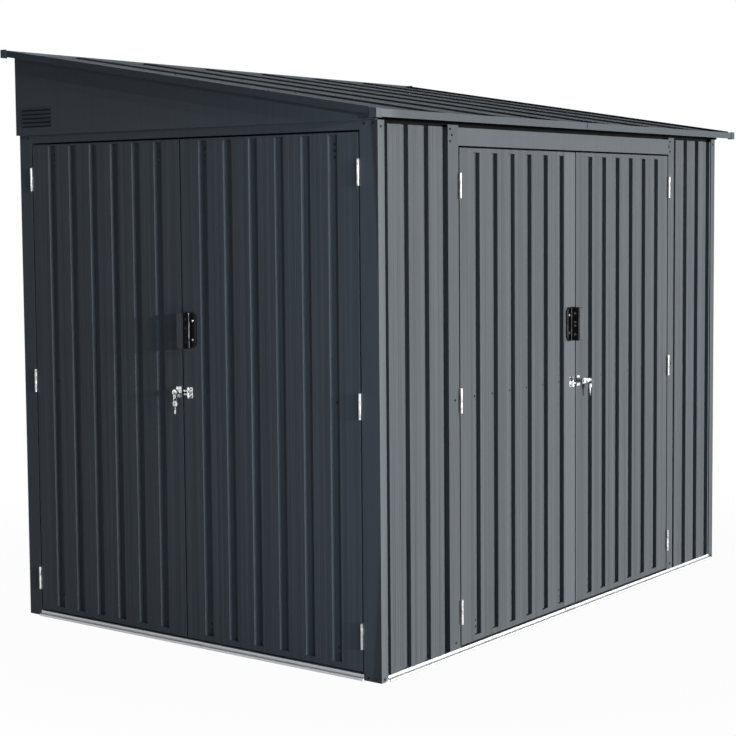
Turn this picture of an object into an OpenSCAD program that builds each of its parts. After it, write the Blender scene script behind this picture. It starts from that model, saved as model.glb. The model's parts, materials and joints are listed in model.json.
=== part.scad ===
// Pent-roof metal storage shed with a double door in the long front and another in the left end.
// Millimetres, +Z up. X runs along the long side, the low eave faces -Y and the high back faces +Y.
// Ground level is z = 0 and the origin is the middle of the footprint that the roof covers.

/* [Overall] */
// Length over the corner posts, along X
wall_length = 2270; // [2000:10:2800]
// Depth over the corner posts, along Y
wall_depth = 1568; // [1400:2:1900]
// Height of the corner posts
post_height = 1700; // [1650:5:1900]
// Top of the side roof trim above the tops of the posts, at the front edge
eave_rise = 30; // [27:1:60]
// Rise of the roof from its front edge to its back edge
roof_rise = 265; // [150:1:400]
// Roof overhang past each end wall
side_overhang = 74; // [40:1:120]
// Roof overhang past the front wall
front_overhang = 51; // [45:1:120]
// Roof overhang past the back wall
back_overhang = 6; // [5:1:40]

/* [Profiled sheet] */
// Thickness of the profiled sheets
sheet_t = 2; // [1:0.25:3]
// Width of a groove at the face of the sheet
groove_face_width = 36; // [32:1:44]
// Width of a groove at its floor
groove_floor_width = 29; // [20:1:31]
// Depth of a groove
groove_depth = 11; // [6:0.5:16]
// Usual distance between the grooves of a wall sheet
groove_pitch = 106; // [90:1:140]
// Number of fine beads on each flat between two grooves
bead_count = 2; // [1:1:3]
// Width of a bead
bead_width = 5; // [3:0.5:7]
// Depth of a bead
bead_depth = 0.6; // [0.2:0.1:0.9]

/* [Posts and jambs] */
// Thickness of posts, jambs and other folded strips
fold_t = 2.5; // [1.5:0.25:4]
// Width of the near post on the end wall
near_post_width = 68; // [50:1:90]
// Width of the back post on the end wall
back_post_width = 58; // [50:1:90]
// Width of each post on the long walls
post_side_width = 33; // [25:1:50]
// Depth of the folded lip beside a door
lip_depth = 24; // [18:1:24]
// Corner cut off the foot of the front post leg
foot_cut = 14; // [6:1:20]
// Front wall from the left corner to the door opening
front_left_width = 426; // [300:1:500]
// Width of the left door jamb
left_jamb_width = 59; // [40:1:80]
// Front wall from the door opening to the right corner
front_right_width = 405; // [300:1:500]
// Width of the right door jamb
right_jamb_width = 47; // [40:1:80]
// How far the jamb tops lie below the post tops
jamb_drop = 3; // [0:1:8]
// How far the top of the strip over the front doors lies below the post tops
lintel_drop = 10; // [4:1:20]
// Height of the strip over the front doors
lintel_height = 57; // [40:1:90]
// Height of the rails along the wall tops
top_rail_height = 28; // [20:1:35]
// Depth of the wall rails behind the sheets
rail_depth = 24; // [18:1:35]
// Height of the mid rails
mid_rail_height = 40; // [25:1:60]
// How far the mid rails lie below the middle of the post height
mid_rail_drop = 24; // [0:1:150]

/* [Base] */
// Height of the base track
base_height = 18; // [14:1:30]
// How far the toe of the base track stands out from the wall
base_toe = 10; // [6:1:16]
// Height of the toe
base_toe_height = 8; // [5:1:12]
// Depth of the base track behind the wall face
base_depth = 32; // [28:1:50]
// Thickness of the base track
base_t = 2; // [1:0.25:3]
// Width of the inner flange of the base track, flat on the ground
base_flange = 24; // [18:1:40]
// Diameter of the anchor holes in the front and back base tracks
anchor_hole_d = 9; // [6:0.5:12]
// Distance of the anchor holes from the ends of the shed
anchor_inset = 285; // [120:5:400]

/* [Doors] */
// Depth of a door leaf
leaf_depth = 25; // [22:1:32]
// Gap between a leaf and its jamb
hinge_gap = 6; // [5:0.5:8]
// Gap between the two leaves of a pair
seam_gap = 6; // [5:0.5:8]
// Distance of the seam from the middle of the opening, which makes one leaf the wider
seam_shift = 14; // [0:1:30]
// Height of the leaf bottoms
leaf_bottom = 25; // [24:1:40]
// Gap over the leaves
leaf_top_gap = 6; // [5:0.5:10]
// Number of grooves in a leaf
leaf_groove_count = 6; // [4:1:8]
// Distance from a leaf's edge to the middle of its first groove
leaf_groove_margin = 97; // [60:1:120]
// Plain strip above the grooves of a front leaf
front_top_strip = 14; // [6:1:60]
// Plain strip above the grooves of an end leaf
end_top_strip = 6; // [6:1:60]
// Plain strip below the grooves of a leaf
leaf_bottom_strip = 18; // [10:1:60]
// Height of the rails inside a leaf
leaf_rail_height = 45; // [30:1:70]

/* [Hinges] */
// Diameter of a hinge knuckle
knuckle_d = 8; // [8:0.5:9.5]
// Diameter of a hinge pin
pin_d = 5; // [4:0.5:6]
// Running clearance round the pin
pin_play = 0.1; // [0.05:0.05:0.3]
// Gap between the ends of the knuckles
knuckle_play = 0.5; // [0.2:0.1:1]
// Height of a hinge
hinge_height = 80; // [60:1:110]
// Distance of the hinge axis in front of the wall face
hinge_proud = 5; // [5:0.25:8]
// Thickness of the hinge plates
hinge_plate_t = 1.5; // [1:0.25:2]
// Depth of the hinge plates behind the wall face
hinge_plate_depth = 18; // [10:1:20]
// From the bottom of a leaf to the middle of its lowest hinge
hinge_from_bottom = 111; // [60:1:250]
// From the top of a leaf to the middle of its highest hinge
hinge_from_top = 120; // [60:1:250]

/* [Handles and locks] */
// Width of a handle plate
handle_width = 36; // [30:1:44]
// Height of a handle
handle_height = 118; // [90:1:150]
// Thickness of the plate and paddle of a handle
handle_plate_t = 4; // [3:0.5:6]
// Corner cut off the handle plate
handle_chamfer = 13; // [6:1:18]
// How far the handle stands out
handle_reach = 33; // [24:1:38]
// Thickness of the web between the handle's plate and paddle
handle_web_t = 5; // [4:0.5:8]
// Width of the paddle
paddle_width = 22; // [18:1:30]
// Corner radius of the paddle
paddle_radius = 11; // [6:1:16]
// Diameter of the holes in the web
web_hole_d = 9; // [5:0.5:12]
// Distance of the holes in the web from the face of the leaf
web_hole_reach = 18; // [14:1:22]
// Distance between the two middle holes of the web
web_hole_gap = 13; // [12:1:20]
// Distance between the two outer holes of the web
web_hole_span = 74; // [50:1:90]
// Height of the middle of a handle above the middle hinge
handle_above_hinge = 205; // [120:1:300]
// Distance of the handle and lock parts from the seam edge of their leaf
seam_inset = 3; // [2:0.5:8]
// Width of the hasp's screw plate
hasp_width = 18; // [14:1:24]
// Height of the hasp's screw plate
hasp_height = 36; // [26:1:44]
// Thickness of the plates of the lock
hasp_t = 2; // [1.5:0.25:3]
// Diameter of the hasp's pivot
hasp_pivot_d = 8; // [6:0.5:10]
// Length of the hasp's arm
hasp_arm = 20; // [14:1:26]
// Height over the two prongs of the hasp's arm
hasp_arm_height = 18; // [14:1:24]
// Height of a prong
hasp_prong = 6; // [4:0.5:6.5]
// Diameter of the lock barrel
barrel_d = 20; // [14:1:22]
// Length of the lock barrel
barrel_length = 16; // [12:1:24]
// Diameter of the barrel between its collars
barrel_waist_d = 14; // [10:0.5:16]
// Length of each collar of the barrel
barrel_collar = 4; // [3:0.5:5]
// Reach of the front lock's lever from the middle of the barrel
front_lever_reach = 52; // [24:1:60]
// Turn of the front lock's lever, 0 away from the seam and -90 straight down
front_lever_turn = 0; // [-90:5:0]
// Reach of the end lock's lever from the middle of the barrel
end_lever_reach = 15; // [15:1:60]
// Turn of the end lock's lever, 0 away from the seam and -90 straight down
end_lever_turn = -90; // [-90:5:0]
// Width of the lever at its tip
lever_tip_d = 11; // [9:0.5:14]
// Thickness of the lever
lever_t = 5; // [3:0.5:6]
// Diameter of the hole in the lever's tip
lever_hole_d = 5; // [4:0.5:6]
// Diameter of the key ring
key_ring_d = 15; // [13:1:20]
// Wire diameter of the key ring
key_wire_d = 1.6; // [1.2:0.1:2]
// Diameter of the head of the key
key_head_d = 20; // [16:1:24]
// Length of the key's blade
key_blade = 24; // [18:1:36]
// Width of the key's blade
key_blade_width = 7; // [5:0.5:9]
// Thickness of the key
key_t = 2; // [1.5:0.1:3]

/* [Roof] */
// Height of the side and back trim
trim_height = 22; // [20:1:40]
// Thickness of the roof trim
trim_t = 2.5; // [1.5:0.25:4]
// How far the trim stands above the roof sheets
trim_stand = 8; // [4:1:9]
// Width of the flange that carries the sheets
trim_flange = 24; // [12:1:26]
// Height of the front fascia
fascia_height = 24; // [18:1:36]
// How far the fascia stands above the roof sheets
fascia_stand = 6; // [1:0.5:8]
// Distance of the joint in the fascia from the middle of the length
fascia_joint = 45; // [0:5:200]
// Gap at joints between lengths of trim and between roof sheets
joint_gap = 0.6; // [0.3:0.1:1]
// Size of the corner caps along each side
cap_size = 27; // [20:1:40]
// Height of the corner caps
cap_height = 28; // [25:1:44]
// How far the caps stand out past the trim
cap_proud = 1.5; // [1:0.25:3]
// Number of roof sheets
roof_sheet_count = 7; // [4:1:9]
// Flat strip between the left edge of a roof sheet and its rib
rib_margin = 6; // [3:1:20]
// Width of a roof rib at its foot
rib_foot_width = 40; // [30:1:60]
// Width of a roof rib at its top
rib_top_width = 24; // [16:1:28]
// Height of a roof rib
rib_height = 6; // [4:0.5:8]
// Depth of the beams under the roof
beam_depth = 36; // [24:1:50]
// Width of the beams under the roof
beam_width = 30; // [20:1:45]
// Number of beams under the roof
beam_count = 2; // [1:1:3]

/* [Gables] */
// How far the gable sheets stand out from the end walls
gable_proud = 16; // [8:1:24]
// Number of slots in a louvre
louvre_slots = 5; // [3:1:7]
// Length of a louvre slot
louvre_length = 147; // [90:1:180]
// Height of a louvre slot
louvre_slot = 5; // [3:0.5:7]
// Distance between louvre slots
louvre_pitch = 14; // [11:0.5:16]
// How far a louvre hood stands out
louvre_hood = 5; // [3:0.5:8]
// Thickness of a louvre hood
louvre_hood_t = 1.5; // [1:0.25:2]
// Distance from the back corner to the louvre
louvre_from_back = 32; // [15:1:80]
// Height of the lowest slot above the bottom of the gable
louvre_rise = 31; // [15:1:80]

/* [Hidden] */

$fn = 48;

// How far a cut runs past the face that it opens
cut_over = 1;

// Colours
paint = "#4a5056";
zinc = "#d9dbdc";
black = "#1b1c1e";
chrome = "#d0d2d4";
cap_grey = "#5a6066";

// Roof planes, as heights above ground over a distance y from the front wall face
roof_depth = front_overhang + wall_depth + back_overhang;
roof_slope = roof_rise / roof_depth;
roof_angle = atan(roof_slope);
eave_top = post_height + eave_rise;
function trim_top(y) = eave_top + roof_slope * (y + front_overhang);
function sheet_top(y) = trim_top(y) - trim_stand;
function sheet_under(y) = sheet_top(y) - sheet_t / cos(roof_angle);

// Top of what carries the roof sheets, a hair below them
seat_gap = 0.3;
function sheet_seat(y) = sheet_under(y) - seat_gap;

// Depth of a profiled sheet, and where the face behind it lies
sheet_depth = groove_depth + sheet_t;
rail_face = fold_t + sheet_depth;

// Heights that follow the posts
jamb_top = post_height - jamb_drop;
lintel_top = post_height - lintel_drop;
lintel_bottom = lintel_top - lintel_height;
mid_rail_level = post_height / 2 - mid_rail_drop;

// Door openings and leaves
front_open_from = front_left_width;
front_open_to = wall_length - front_right_width;
end_open_from = near_post_width;
end_open_to = wall_depth - back_post_width;
function active_width(open) = (open - 2 * hinge_gap - seam_gap) / 2 + seam_shift;
function passive_width(open) = (open - 2 * hinge_gap - seam_gap) / 2 - seam_shift;
front_open = front_open_to - front_open_from;
end_open = end_open_to - end_open_from;
front_leaf_height = lintel_bottom - leaf_top_gap - leaf_bottom;
header_bottom = post_height - top_rail_height;
end_leaf_height = header_bottom - leaf_top_gap - leaf_bottom;

// Heights of the hinges of a leaf, from bottom to top
function low_hinge() = leaf_bottom + hinge_from_bottom;
function high_hinge(height) = leaf_bottom + height - hinge_from_top;
function middle_hinge(height) = (low_hinge() + high_hinge(height)) / 2;
knuckle_length = (hinge_height - 2 * knuckle_play) / 3;

// Even steps from a to b, as near to the pitch as they come
function steps(a, b, pitch) =
    let (n = max(1, round((b - a) / pitch)))
    [for (i = [0:n]) a + (b - a) * i / n];

// Outline of a profiled sheet from x = 0 to the width, face at y = 0, body towards +Y
function groove_points(c, out, y) = [
    [c - groove_face_width / 2 - out, y],
    [c - groove_floor_width / 2 - out, y + groove_depth],
    [c + groove_floor_width / 2 + out, y + groove_depth],
    [c + groove_face_width / 2 + out, y]
];
groove_run = (groove_face_width - groove_floor_width) / 2;
groove_slant = sqrt(groove_run * groove_run + groove_depth * groove_depth);
groove_spread = sheet_t * (groove_slant - groove_run) / groove_depth;
function reversed(list) = [for (i = [len(list) - 1:-1:0]) list[i]];
function bead_points(a, b) =
    let (step = (b - a) / (bead_count + 1))
    [for (i = [1:bead_count])
        for (p = [[-bead_width / 2, 0], [0, bead_depth], [bead_width / 2, 0]])
            [a + i * step + p[0], p[1]]];
function flat_beads(centres, i) = i + 1 < len(centres)
    ? bead_points(centres[i] + groove_face_width / 2, centres[i + 1] - groove_face_width / 2)
    : [];
function sheet_face(width, centres) = concat(
    [[0, 0]],
    [for (i = [0:len(centres) - 1])
        for (p = concat(groove_points(centres[i], 0, 0), flat_beads(centres, i))) p],
    [[width, 0]]
);
function sheet_back(width, centres) = concat(
    [[0, sheet_t]],
    [for (c = centres) for (p = groove_points(c, groove_spread, sheet_t)) p],
    [[width, sheet_t]]
);
function sheet_outline(width, centres) = concat(
    sheet_face(width, centres),
    reversed(sheet_back(width, centres))
);

module profiled_sheet(width, height, centres) {
    linear_extrude(height) polygon(sheet_outline(width, centres));
}

// The shed is drawn from its near front corner and moved so that the roof's footprint is centred
module shed() {
    translate([-wall_length / 2, front_overhang - roof_depth / 2, 0]) children();
}

// Mirrors a piece of the left end to the right end
module to_right_end() {
    translate([wall_length, 0, 0]) mirror([1, 0, 0]) children();
}

// Mirrors a piece of the front wall to the back wall
module to_back() {
    translate([0, wall_depth, 0]) mirror([0, 1, 0]) children();
}

// Draws a Y-Z outline along X
module along_x(from, to) {
    translate([from, 0, 0])
        rotate([90, 0, 90])
        linear_extrude(to - from) children();
}

// Draws an X-Z outline along Y
module along_y(from, to) {
    translate([0, to, 0])
        rotate([90, 0, 0])
        linear_extrude(to - from) children();
}

// Base track, section with the wall face at 0 and the inside to the right
module base_toe_section() {
    difference() {
        union() {
            square([base_depth, base_height]);
            translate([-base_toe, 0]) square([base_toe + base_t, base_toe_height]);
        }
        translate([base_t, -cut_over])
            square([base_depth - 2 * base_t, base_height - base_t + cut_over]);
        translate([base_t - base_toe, -cut_over])
            square([base_toe + base_t, base_toe_height - base_t + cut_over]);
    }
}

// The track behind a post, where the post's leg takes the place of its face
module base_tail_section() {
    difference() {
        translate([fold_t, 0]) square([base_depth - fold_t, base_height]);
        translate([fold_t + base_t, -cut_over])
            square([base_depth - fold_t - 2 * base_t, base_height - base_t + cut_over]);
    }
}

// Flange on the ground at the inner foot of the track
flange_end = base_depth + base_flange;

module base_flange_section() {
    translate([base_depth - base_t, 0]) square([base_flange + base_t, base_t]);
}

module anchor_holes() {
    for (x = [anchor_inset, wall_length - anchor_inset])
        translate([x, base_depth + base_flange / 2, -cut_over])
            cylinder(d = anchor_hole_d, h = base_t + 2 * cut_over);
}

module base_front() {
    color(zinc) {
        along_x(post_side_width, wall_length - post_side_width) base_toe_section();
        along_x(fold_t, post_side_width) base_tail_section();
        along_x(wall_length - post_side_width, wall_length - fold_t) base_tail_section();
        difference() {
            along_x(flange_end, wall_length - flange_end) base_flange_section();
            anchor_holes();
        }
    }
}

module base_back() {
    to_back() base_front();
}

module base_left() {
    color(zinc) {
        along_y(near_post_width, wall_depth - back_post_width) base_toe_section();
        along_y(base_depth, near_post_width) base_tail_section();
        along_y(wall_depth - back_post_width, wall_depth - base_depth) base_tail_section();
        along_y(flange_end, wall_depth - flange_end) base_flange_section();
    }
}

module base_right() {
    to_right_end() base_left();
}

// Corner post with its corner at the origin, one leg along +X and one along +Y
module corner_post(end_width) {
    color(paint) {
        difference() {
            cube([post_side_width, fold_t, post_height]);
            translate([post_side_width, fold_t + cut_over, 0])
                rotate([90, 0, 0])
                linear_extrude(fold_t + 2 * cut_over)
                polygon([[-foot_cut - cut_over, -cut_over], [cut_over, -cut_over], [cut_over, foot_cut + cut_over]]);
        }
        cube([fold_t, end_width, post_height]);
    }
}

// Corner post beside a door, with a folded lip along its edge
module door_post(end_width) {
    corner_post(end_width);
    color(paint)
        translate([0, end_width - fold_t, base_height])
        cube([lip_depth, fold_t, post_height - base_height]);
}

module front_left_post() {
    door_post(near_post_width);
}

module front_right_post() {
    to_right_end() corner_post(near_post_width);
}

module back_left_post() {
    to_back() door_post(back_post_width);
}

module back_right_post() {
    to_right_end() to_back() corner_post(back_post_width);
}

// Front wall panels, tucked behind the posts and the jambs
panel_top = lintel_top;
panel_height = panel_top - base_height;
panel_end_clear = 2 * fold_t;

module front_left_panel() {
    width = front_left_width - panel_end_clear - fold_t;
    first = post_side_width;
    last = front_left_width - left_jamb_width - groove_floor_width / 2;
    centres = [for (x = steps(first, last, groove_pitch)) x - fold_t];
    color(paint)
        translate([fold_t, fold_t, base_height])
        profiled_sheet(width, panel_height, centres);
}

module front_right_panel() {
    start = front_open_to + panel_end_clear;
    first = front_open_to + right_jamb_width;
    last = wall_length - post_side_width - groove_floor_width;
    centres = [for (x = steps(first, last, groove_pitch)) x - start];
    color(paint)
        translate([start, fold_t, base_height])
        profiled_sheet(wall_length - fold_t - start, panel_height, centres);
}

// A row of sheets side by side over a length, each with its own grooves
module sheet_row(length, count, height) {
    sheet = (length - joint_gap * (count - 1)) / count;
    grooves = max(2, round(sheet / groove_pitch));
    pitch = sheet / grooves;
    for (i = [0:count - 1])
        translate([i * (sheet + joint_gap), 0, 0])
            profiled_sheet(sheet, height, [for (k = [0:grooves - 1]) (k + 0.5) * pitch]);
}

back_sheet_count = 3;
right_sheet_count = 2;
wall_sheet_height = post_height - base_height;

module back_wall() {
    color(paint)
        to_back()
        translate([fold_t, fold_t, base_height])
        sheet_row(wall_length - 2 * fold_t, back_sheet_count, wall_sheet_height);
}

module right_wall() {
    color(paint)
        translate([wall_length - fold_t, rail_face, base_height])
        rotate([0, 0, 90])
        sheet_row(wall_depth - 2 * rail_face, right_sheet_count, wall_sheet_height);
}

// Door jambs on the front wall, a strip with a lip beside the doorway that narrows at the rail over it
module jamb(width) {
    color(paint) {
        cube([width, fold_t, jamb_top - base_height]);
        translate([width - fold_t, 0, 0]) {
            cube([fold_t, lip_depth, lintel_bottom - base_height]);
            cube([fold_t, rail_face, jamb_top - base_height]);
        }
    }
}

module front_left_jamb() {
    translate([front_left_width - left_jamb_width, 0, base_height]) jamb(left_jamb_width);
}

module front_right_jamb() {
    translate([front_open_to + right_jamb_width, 0, base_height])
        mirror([1, 0, 0])
        jamb(right_jamb_width);
}

// Channel section open to the inside, face at 0
module channel(depth, height) {
    difference() {
        square([depth, height]);
        translate([fold_t, fold_t]) square([depth, height - 2 * fold_t]);
    }
}

module front_lintel() {
    color(paint)
        along_x(front_open_from, front_open_to)
        translate([0, lintel_bottom])
        channel(rail_face, lintel_top - lintel_bottom);
}

module left_header() {
    color(paint)
        along_y(end_open_from, end_open_to)
        translate([0, header_bottom])
        channel(lip_depth, top_rail_height);
}

// Front top rail, whose upper flange follows the underside of the roof
top_rail_back = rail_face + rail_depth;
front_rail_bottom = lintel_bottom + 2 * fold_t;

module front_top_rail() {
    color(paint)
        along_x(fold_t, wall_length - rail_face)
        polygon([
            [rail_face, front_rail_bottom],
            [top_rail_back, front_rail_bottom],
            [top_rail_back, front_rail_bottom + fold_t],
            [rail_face + fold_t, front_rail_bottom + fold_t],
            [rail_face + fold_t, sheet_seat(rail_face + fold_t) - fold_t],
            [top_rail_back, sheet_seat(top_rail_back) - fold_t],
            [top_rail_back, sheet_seat(top_rail_back)],
            [rail_face, sheet_seat(rail_face)]
        ]);
}

module back_top_rail() {
    color(paint)
        to_back()
        along_x(fold_t, wall_length - rail_face)
        translate([rail_face, header_bottom])
        channel(rail_depth, top_rail_height);
}

module right_top_rail() {
    color(paint)
        to_right_end()
        along_y(top_rail_back, wall_depth - top_rail_back)
        translate([rail_face, header_bottom])
        channel(rail_depth, top_rail_height);
}

// Mid rails behind the wall sheets, each stopping short of the next at the corners
module mid_rail_section() {
    translate([rail_face, mid_rail_level - mid_rail_height / 2])
        channel(rail_depth, mid_rail_height);
}

module mid_rails() {
    color(paint) {
        along_x(near_post_width, front_left_width - panel_end_clear) mid_rail_section();
        along_x(front_open_to + panel_end_clear, wall_length - near_post_width) mid_rail_section();
        to_back() along_x(near_post_width, wall_length - near_post_width) mid_rail_section();
        to_right_end() along_y(near_post_width, wall_depth - near_post_width) mid_rail_section();
    }
}

// Gable sheet on the left end, with a flange that stands on the posts
module gable_outline() {
    polygon([
        [0, post_height],
        [wall_depth, post_height],
        [wall_depth, sheet_seat(wall_depth)],
        [0, sheet_seat(0)]
    ]);
}

louvre_start = wall_depth - louvre_from_back - louvre_length;
louvre_bottom = post_height + louvre_rise;

module louvre_cuts() {
    for (i = [0:louvre_slots - 1])
        translate([-gable_proud - cut_over, louvre_start, louvre_bottom + i * louvre_pitch])
            cube([fold_t + 2 * cut_over, louvre_length, louvre_slot]);
}

// Each slot has a sloping hood that springs from the sheet above it
module louvre_hoods() {
    for (i = [0:louvre_slots - 1])
        along_y(louvre_start, louvre_start + louvre_length)
            translate([-gable_proud, louvre_bottom + i * louvre_pitch])
            polygon([
                [-louvre_hood, 0],
                [-louvre_hood, louvre_hood_t],
                [0, louvre_slot + 2 * louvre_hood_t],
                [fold_t / 2, louvre_slot + 2 * louvre_hood_t],
                [fold_t / 2, louvre_slot],
                [0, louvre_slot]
            ]);
}

module gable() {
    color(paint) {
        difference() {
            along_x(-gable_proud, fold_t - gable_proud) gable_outline();
            louvre_cuts();
        }
        louvre_hoods();
        translate([-gable_proud, 0, post_height]) cube([gable_proud + fold_t, wall_depth, fold_t]);
    }
}

module left_gable() {
    gable();
}

module right_gable() {
    to_right_end() gable();
}

module upper_back_panel() {
    inner = fold_t - gable_proud;
    color(paint) {
        along_x(inner, wall_length - inner)
            polygon([
                [wall_depth - fold_t, post_height + fold_t],
                [wall_depth, post_height + fold_t],
                [wall_depth, sheet_seat(wall_depth)],
                [wall_depth - fold_t, sheet_seat(wall_depth - fold_t)]
            ]);
        along_x(fold_t, wall_length - fold_t)
            translate([wall_depth - rail_face, post_height])
            square([rail_face, fold_t]);
    }
}

// Roof trim
trim_face = cap_proud - side_overhang;
roof_front = cap_proud - front_overhang;
roof_back = wall_depth + back_overhang - cap_proud;
cap_front_end = cap_size - front_overhang;
cap_back_end = wall_depth + back_overhang - cap_size;

// Strip along the slope between two distances from the front wall, between two offsets from a plane
module slope_strip(from, to, low, high) {
    polygon([
        [from, trim_top(from) - low],
        [to, trim_top(to) - low],
        [to, trim_top(to) - high],
        [from, trim_top(from) - high]
    ]);
}

flange_top = trim_stand + sheet_t / cos(roof_angle) + seat_gap;

module side_trim() {
    color(paint) {
        along_x(trim_face, trim_face + trim_t)
            slope_strip(cap_front_end, cap_back_end, trim_height, 0);
        along_x(trim_face, trim_face + trim_flange)
            slope_strip(cap_front_end, cap_back_end, flange_top + trim_t, flange_top);
    }
}

module left_roof_trim() {
    side_trim();
}

module right_roof_trim() {
    to_right_end() side_trim();
}

// Section of the front fascia, with the flange under the edge of the sheets
module fascia_section() {
    top = sheet_top(roof_front) + fascia_stand;
    inner = roof_front + trim_t;
    reach = roof_front + trim_flange;
    polygon([
        [roof_front, top],
        [inner, top],
        [inner, sheet_seat(inner)],
        [reach, sheet_seat(reach)],
        [reach, sheet_seat(reach) - trim_t],
        [inner, sheet_seat(inner) - trim_t],
        [inner, top - fascia_height],
        [roof_front, top - fascia_height]
    ]);
}

fascia_from = cap_size - side_overhang;
fascia_to = wall_length - fascia_from;
fascia_split = wall_length / 2 + fascia_joint;

module eave_fascia() {
    color(paint) {
        along_x(fascia_from, fascia_split - joint_gap / 2) fascia_section();
        along_x(fascia_split + joint_gap / 2, fascia_to) fascia_section();
    }
}

module back_roof_trim() {
    inner = roof_back - trim_t;
    color(paint)
        along_x(fascia_from, fascia_to) {
            slope_strip(inner, roof_back, trim_height, 0);
            slope_strip(wall_depth, roof_back, flange_top + trim_t, flange_top);
        }
}

// Corner caps, an angle of two plates round each roof corner
module corner_cap(z) {
    cap_t = cap_proud + trim_t;
    translate([-side_overhang, 0, z])
        linear_extrude(cap_height)
        difference() {
            square(cap_size);
            translate([cap_t, cap_t]) square(cap_size);
        }
}

module left_caps() {
    translate([0, -front_overhang, 0]) corner_cap(trim_top(roof_front) - cap_height);
    translate([0, wall_depth + back_overhang, 0])
        mirror([0, 1, 0])
        corner_cap(trim_top(roof_back) - cap_height);
}

module roof_corner_caps() {
    color(cap_grey) {
        left_caps();
        to_right_end() left_caps();
    }
}

// Places children on the slope: x as before, y up the slope from the front edge, z = 0 on the sheets
module on_slope() {
    translate([0, roof_front, sheet_top(roof_front)]) rotate([roof_angle, 0, 0]) children();
}

sheet_end_clear = 1;
roof_sheet_from = trim_face + trim_t + joint_gap / 2;
roof_sheet_to = wall_length - roof_sheet_from;
slope_from = (trim_t + sheet_end_clear) / cos(roof_angle);
slope_to = (roof_back - roof_front - trim_t - sheet_end_clear) / cos(roof_angle) - sheet_t * roof_slope;

// Outline of a roof sheet: a flat pan with a low raised rib beside its left edge, open below
function rib_points(c, out, y) = [
    [c - rib_foot_width / 2 + out, y],
    [c - rib_top_width / 2 + out, y + rib_height],
    [c + rib_top_width / 2 - out, y + rib_height],
    [c + rib_foot_width / 2 - out, y]
];
rib_run = (rib_foot_width - rib_top_width) / 2;
rib_slant = sqrt(rib_run * rib_run + rib_height * rib_height);
rib_spread = sheet_t * (rib_slant - rib_run) / rib_height;
function roof_side(width, out, y) = concat(
    [[0, y]],
    rib_points(rib_margin + rib_foot_width / 2, out, y),
    [[width, y]]
);

module roof_sheet_outline(width) {
    polygon(concat(
        roof_side(width, 0, 0),
        reversed(roof_side(width, rib_spread, -sheet_t))
    ));
}

module roof_sheets() {
    span = roof_sheet_to - roof_sheet_from;
    width = (span - joint_gap * (roof_sheet_count - 1)) / roof_sheet_count;
    color(paint)
        on_slope()
        for (i = [0:roof_sheet_count - 1])
            translate([roof_sheet_from + i * (width + joint_gap), 0, 0])
                along_y(slope_from, slope_to)
                roof_sheet_outline(width);
}

// Beams under the roof, from gable to gable
module roof_beams() {
    inner = fold_t - gable_proud + seat_gap;
    color(paint)
        on_slope()
        for (i = [1:beam_count])
            along_x(inner, wall_length - inner)
                translate([i * slope_to / (beam_count + 1), -sheet_t - beam_depth])
                difference() {
                    square([beam_width, beam_depth]);
                    translate([fold_t, -cut_over])
                        square([beam_width - 2 * fold_t, beam_depth - fold_t + cut_over]);
                }
}

// Door leaf: hinge edge at x = 0, seam edge at x = width, face at y = 0, inside towards +Y
module leaf(width, height, top_strip) {
    margin = leaf_groove_margin;
    pitch = (width - 2 * margin) / (leaf_groove_count - 1);
    centres = [for (i = [0:leaf_groove_count - 1]) margin + i * pitch];
    groove_top = height - top_strip;
    groove_height = groove_top - leaf_bottom_strip;
    color(paint) {
        translate([0, 0, leaf_bottom_strip]) profiled_sheet(width, groove_height, centres);
        cube([width, sheet_t, leaf_bottom_strip]);
        translate([0, 0, groove_top]) cube([width, sheet_t, top_strip]);
        for (c = centres) {
            translate([0, 0, leaf_bottom_strip - sheet_t]) groove_end(c);
            translate([0, 0, groove_top]) groove_end(c);
        }
        cube([sheet_t, leaf_depth, height]);
        translate([width - sheet_t, 0, 0]) cube([sheet_t, leaf_depth, height]);
        cube([width, leaf_depth, sheet_t]);
        translate([0, 0, height - sheet_t]) cube([width, leaf_depth, sheet_t]);
    }
}

// Closed end of a pressed groove
module groove_end(c) {
    linear_extrude(sheet_t)
        polygon(concat(
            [[c - groove_face_width / 2 - groove_spread, 0]],
            [for (p = groove_points(c, groove_spread, sheet_t)) p],
            [[c + groove_face_width / 2 + groove_spread, 0]]
        ));
}

// Three rails inside a leaf, behind the grooves
module leaf_rails(width, height, top_strip) {
    first = leaf_bottom_strip + leaf_rail_height / 2;
    last = height - top_strip - leaf_rail_height / 2;
    middle = mid_rail_level - leaf_bottom;
    color(paint)
        for (z = [first, middle, last])
            along_x(sheet_t, width - sheet_t)
                translate([sheet_depth, z - leaf_rail_height / 2])
                channel(leaf_depth - sheet_depth, leaf_rail_height);
}

// Hinges with the axis on z, the leaf towards +X, the wall face at y = hinge_proud
module hinge_plate(x, height) {
    translate([x, hinge_proud, 0]) cube([hinge_plate_t, hinge_plate_depth, height]);
}

module hinge_web(x, from, height) {
    translate([x, 0, from]) cube([hinge_plate_t, hinge_proud, height]);
}

module frame_hinge() {
    x = -hinge_gap / 2;
    top = hinge_height - knuckle_length;
    cylinder(d = knuckle_d, h = knuckle_length);
    translate([0, 0, top]) cylinder(d = knuckle_d, h = knuckle_length);
    cylinder(d = pin_d, h = hinge_height);
    hinge_web(x, 0, knuckle_length);
    hinge_web(x, top, knuckle_length);
    hinge_plate(x, hinge_height);
}

module leaf_hinge() {
    x = hinge_gap / 2 - hinge_plate_t;
    from = knuckle_length + knuckle_play;
    difference() {
        union() {
            translate([0, 0, from]) cylinder(d = knuckle_d, h = knuckle_length);
            hinge_web(x, from, knuckle_length);
        }
        translate([0, 0, from - cut_over])
            cylinder(d = pin_d + 2 * pin_play, h = knuckle_length + 2 * cut_over);
    }
    hinge_plate(x, hinge_height);
}

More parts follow.
